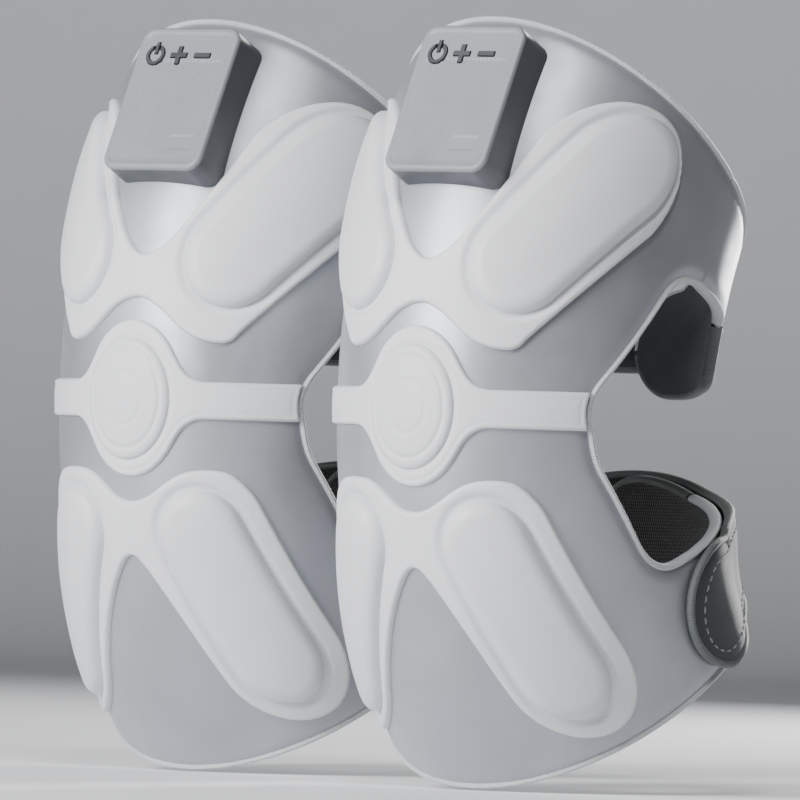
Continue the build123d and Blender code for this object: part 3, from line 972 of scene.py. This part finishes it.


# Wings: each runs on from the shell's side edge; a hinge line is worked out for it, but it is not bent
# across it


class Wing:
    """One strap: its side and level, how far round it goes and how it ends. Turns are in degrees;
    the straps that start on the -X side are the outer ones."""

    def __init__(self, name, side, top, last, end, strap_from):
        self.name = name
        self.side = side
        self.top = top
        self.last = last
        self.end = end
        self.strap_from = strap_from
        self.hinge = UPPER_HINGE if top else LOWER_HINGE
        self.inside_cloth = "strap_fabric" if top else "lining_mesh"

    def turn(self, a):
        return self.side * np.degrees(a / GIRTH_PER_RADIAN)

    def edge(self, a, b):
        """The strap's free edges: rim, side opening and rounded end."""
        place, _ = tube(a, b, 0.0)
        end = self.end(*np.moveaxis(place, -1, 0)) + PIPING_ACROSS
        past_middle = HALF_GAP - b if self.top else HALF_GAP + b
        return np.maximum(np.maximum(free_edge(a, b), end), past_middle)

    def region(self, a, b):
        return np.maximum(self.edge(a, b), SEAM_GIRTH - self.side * a)

    def over_shell(self, a):
        """How far the strap has come round the far side, on to the shell's own flank."""
        return smoothstep((self.turn(a) - FAR_FLANK) / 20)

    def lift(self, a, b):
        """Height above the tube: an outer wing passes over its neighbour, and the lower straps
        draw in behind the calf."""
        turn = self.turn(a)
        lift = WING_LIFT * smoothstep((turn - LIFT_START) / (LIFT_END - LIFT_START))
        lift = lift - FAR_SETTLE * self.over_shell(a) if self.side < 0 else 0.0
        back = np.minimum(turn, 360 - turn)
        return lift - CALF_DRAW_IN * smoothstep((back - 95) / 25) * smoothstep((-b - 35) / 25)

    def thinner(self, a):
        """The strap thins from the shell's thickness to its own."""
        return 0.5 * smoothstep((self.turn(a) - 95) / 10) + FAR_THINNING * self.over_shell(a)

    def outside(self, a, b):
        inside = np.maximum(-self.edge(a, b), 0)
        crease = 0.0 if self.top else STRAP_CREASE * bump(self.turn(a) - self.strap_from, 1.2)
        return self.lift(a, b) + softness(a, b) - 1.1 * bump(inside, 2.2) - crease

    def face(self, rise):
        """The strap's own copy of a face that the shell has at a rise."""
        return lambda a, b: self.lift(a, b) + rise + self.thinner(a)

    def piping_centre(self, a, b):
        return self.lift(a, b) + PIPING_CENTRE + self.thinner(a) / 2

    def piping_through(self, a, b):
        return PIPING_THROUGH - self.thinner(a) / 2

    def is_strap(self, points):
        """True where the cloth is the dark strap's, false where it is still the shell's."""
        if not self.top:
            return self.turn(points[:, 0]) > self.strap_from
        place, _ = tube(points[:, 0], points[:, 1], 0.0)
        level, slope = CLOTH_EDGE
        return points[:, 1] < level + slope * place[:, 1]

    def cloth_of(self, points):
        return self.is_strap(points).astype(int)

    def patch(self):
        span = GIRTH_PER_RADIAN * math.radians(self.last) - SEAM_GIRTH
        across = SEAM_GIRTH + np.linspace(0, span, int(span / SHELL_STEP) + 1)
        if self.side < 0:
            across = -across[::-1]
        return Patch(self.region, across, SHELL_UP)

    def make(self):
        patch = self.patch()
        body = self.name.replace("wing", "strap")
        middle, ahead = self.hinge
        middle = np.array([self.side * HINGE_OUT, *middle])
        reach = FOLD_HALF * np.array([-self.side * HINGE_TURN_IN, *ahead])
        hinge = (middle - reach, middle + reach)
        skin = Skin()
        skin.add_layer(patch, tube, self.outside, self.face(SHELL_INSIDE), self.cloth_of)
        place_pair(self.name, skin, ["shell_fabric", "strap_fabric"], body,
                   [self.name], hinge)
        lining = Skin()
        lining.add_layer(patch, tube, self.face(LINING_OUTSIDE), self.face(LINING_INSIDE))
        for piece in place_pair(self.name + "_lining", lining, [self.inside_cloth], body,
                                hinge=hinge):
            declare_sheet(piece)

        def kept(points):
            return self.edge(*points.T) > -0.9

        def kept_on_strap(points):
            return kept(points) & self.is_strap(points)

        def kept_on_shell(points):
            return kept(points) & ~self.is_strap(points)

        piping = Skin()
        add_piping(piping, patch, kept_on_shell, self.piping_centre, self.piping_through)
        add_piping(piping, patch, kept_on_strap, self.piping_centre, self.piping_through, group=1)
        if self.top:
            self.add_cloth_edge(piping)
        place_pair(self.name + "_piping", piping, ["binding_tape", "strap_binding"], body,
                   hinge=hinge)
        self.make_stitches(patch, kept, body, hinge)

    def add_cloth_edge(self, piping):
        """Piping along the back edge of the upper silver cloth, over the strap."""
        level, slope = CLOTH_EDGE
        turn = np.arange(92.0, self.last, 1.0)
        a = self.side * GIRTH_PER_RADIAN * np.radians(turn)
        b = np.full(len(a), 30.0)
        for _ in range(12):
            place, _ = tube(a, b, 0.0)
            b = level + slope * place[:, 1]
        line = np.stack([a, b], -1)[self.edge(a, b) < 0.5]
        path, normals = tube(line[:, 0], line[:, 1], self.outside(line[:, 0], line[:, 1]) - 0.5)
        piping.add_sweep(path, normals, 1.2, 1.2, False)

    def make_stitches(self, patch, kept, body, hinge):
        """A line of thread inside the piping, on the strap cloth only."""
        stitches = Skin()
        for points, closed in patch.runs(kept):
            line = shifted_run(even_run(points, closed, PIPING_STEP, 8), closed, 4.2)
            on_strap = self.turn(line[:, 0]) > self.strap_from + 2
            marks = np.flatnonzero(np.diff(np.concatenate([[0], on_strap.astype(int), [0]])))
            for first, last in zip(marks[::2], marks[1::2]):
                if last - first > 4:
                    stitches.add_stitches(line[first:last], False, tube, self.outside)
        if stitches.count:
            place_pair(self.name + "_stitching", stitches, ["thread"], body, hinge=hinge)


def half_round(along, up, end_along, centre_up, radius):
    """Strap that stops in a half-round end."""
    return np.minimum(along - end_along, np.hypot(along - end_along, up - centre_up) - radius)


def upper_outer_end(x, y, z):
    return np.where(y > 0, np.maximum(half_round(x, z, 3.0, 25.0, 13.5), 11.5 - z), -50.0)


def upper_inner_end(x, y, z):
    return half_round(-x, z, -20.0, 20.5, 18.0)


def lower_outer_end(x, y, z):
    return np.where(x > 0, half_round(-y, z, -23.0, -62.5, 21.5), -50.0)


def lower_inner_end(x, y, z):
    return half_round(-x, z, -2.5, -37.5, 15.5)


WINGS = [
    Wing("upper_outer_wing", -1, True, 206, upper_outer_end, 118),
    Wing("upper_inner_wing", 1, True, 188, upper_inner_end, 126),
    Wing("lower_outer_wing", -1, False, 296, lower_outer_end, 118),
    Wing("lower_inner_wing", 1, False, 206, lower_inner_end, 150),
]


def make_hook_tape(name, wing, low, high, corner):
    """Hook tape on the inside of an outer strap's end, between two corners in x and z."""
    middle = [(a + b) / 2 for a, b in zip(low, high)]
    half = [(b - a) / 2 for a, b in zip(low, high)]

    def region(a, b):
        place, _ = tube(a, b, 1.0)
        return rounded_box(place[..., 0] - middle[0], place[..., 2] - middle[1], *half, corner)

    def hooks(a, b):
        rows = np.abs(np.sin(a * math.pi / 1.5) * np.sin(b * math.pi / 1.5))
        return wing.face(LINING_INSIDE - 0.85)(a, b) - 0.35 * rows ** 2

    first = -GIRTH_PER_RADIAN * (math.pi + math.asin(high[0] / HALF_WIDTH)) - 3
    last = -GIRTH_PER_RADIAN * (math.pi + math.asin(low[0] / HALF_WIDTH)) + 3
    patch = Patch(region, grid(first, last, 0.5), grid(low[1] - 2, high[1] + 2, 0.5))
    skin = Skin()
    skin.add_layer(patch, tube, wing.face(LINING_INSIDE - 0.05), hooks)
    place_pair(name, skin, ["hook_tape"], wing.name.replace("wing", "strap"), [name])


def finish_cad_nodes():
    """Every CAD node that still shows gets its slot's own finish."""
    slots = {}
    for entry in frame["record"]["materials"]:
        for node in entry.get("nodes", []):
            slots[node] = entry["slot"]
    for name, node in frame["nodes"].items():
        if node.hide_render:
            continue
        slot = slots.get(name) or node.data.materials[0].name.split(".")[0]
        finish = MATERIALS[slot]
        for index in range(len(node.material_slots)):
            node.material_slots[index].material = finish


# Stage, lights and camera

YAW = math.radians(36.0)
ROLL = math.radians(1.64)
VIEW_DISTANCE = 4.5
VIEW_WIDTH = 0.2608
SENSOR = 36.0
VIEW_RIGHT = Vector((math.cos(YAW), math.sin(YAW), 0))
VIEW_AWAY = Vector((-math.sin(YAW), math.cos(YAW), 0))
VIEW_CENTRE = VIEW_RIGHT * -0.0439 + Vector((0, 0, 0.0002))


def make_camera():
    data = bpy.data.cameras.new("camera")
    data.sensor_width = SENSOR
    data.lens = SENSOR * VIEW_DISTANCE / VIEW_WIDTH
    data.clip_end = 50
    camera = bpy.data.objects.new("camera", data)
    bpy.context.scene.collection.objects.link(camera)
    up = Vector((0, 0, 1))
    right = VIEW_RIGHT * math.cos(ROLL) + up * math.sin(ROLL)
    top = up * math.cos(ROLL) - VIEW_RIGHT * math.sin(ROLL)
    turn = Matrix((right, top, -VIEW_AWAY)).transposed().to_4x4()
    camera.matrix_world = Matrix.Translation(VIEW_CENTRE - VIEW_AWAY * VIEW_DISTANCE) @ turn
    bpy.context.scene.camera = camera


def area_light(name, right, height, away, size, watts, aim=(0, 0, 0)):
    """Soft box placed by distances right of, above and behind the object, as the camera sees it."""
    data = bpy.data.lights.new(name, "AREA")
    data.shape = "RECTANGLE"
    data.size, data.size_y = size
    data.energy = watts
    light = bpy.data.objects.new(name, data)
    bpy.context.scene.collection.objects.link(light)
    light.location = VIEW_CENTRE + VIEW_RIGHT * right + VIEW_AWAY * away + Vector((0, 0, height))
    toward = VIEW_CENTRE + Vector(aim) - light.location
    light.rotation_euler = toward.to_track_quat("-Z", "Y").to_euler()


def make_stage():
    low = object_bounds()[0].z - 0.0006
    backdrop = Finish("backdrop", (0.72, 0.73, 0.75), 0.85).done()
    rows = [(-3.0, 0.0), (1.9, 0.0)]
    for k in range(1, 13):
        turn = k / 12 * math.pi / 2
        rows.append((1.9 + 0.3 * math.sin(turn), 0.3 * (1 - math.cos(turn))))
    rows.append((2.2, 0.37))
    points = []
    for away, height in rows:
        for right in (-4.0, 4.0):
            points.append(VIEW_RIGHT * right + VIEW_AWAY * away + Vector((0, 0, low + height)))
    faces = [[2 * k, 2 * k + 1, 2 * k + 3, 2 * k + 2] for k in range(len(rows) - 1)]
    mesh = bpy.data.meshes.new("studio_floor")
    mesh.from_pydata(points, [], faces)
    mesh.materials.append(backdrop)
    mesh.polygons.foreach_set("use_smooth", [True] * len(faces))
    floor = bpy.data.objects.new("studio_floor", mesh)
    bpy.context.scene.collection.objects.link(floor)


def make_lights():
    world = bpy.data.worlds.new("studio")
    world.use_nodes = True
    world.node_tree.nodes["Background"].inputs["Color"].default_value = (0.62, 0.64, 0.68, 1)
    world.node_tree.nodes["Background"].inputs["Strength"].default_value = 0.07
    bpy.context.scene.world = world
    area_light("key", -1.1, 0.55, -0.95, (0.5, 0.8), 40)
    area_light("top", 0.0, 1.05, -0.85, (0.3, 0.3), 9)
    area_light("left", -1.4, 0.25, -0.1, (0.9, 1.2), 9)
    area_light("rim", 0.6, 0.3, 1.1, (0.15, 0.8), 22)


make_shell()
make_plates()
make_pods()
make_knee_piece()
make_controller_cover()
for wing in WINGS:
    wing.make()
make_hook_tape("upper_hook_tape", WINGS[0], (-13, 16), (11, 33), 5)
make_hook_tape("lower_hook_tape", WINGS[2], (14, -48), (42, -31), 4)
finish_cad_nodes()
make_camera()
make_stage()
make_lights()
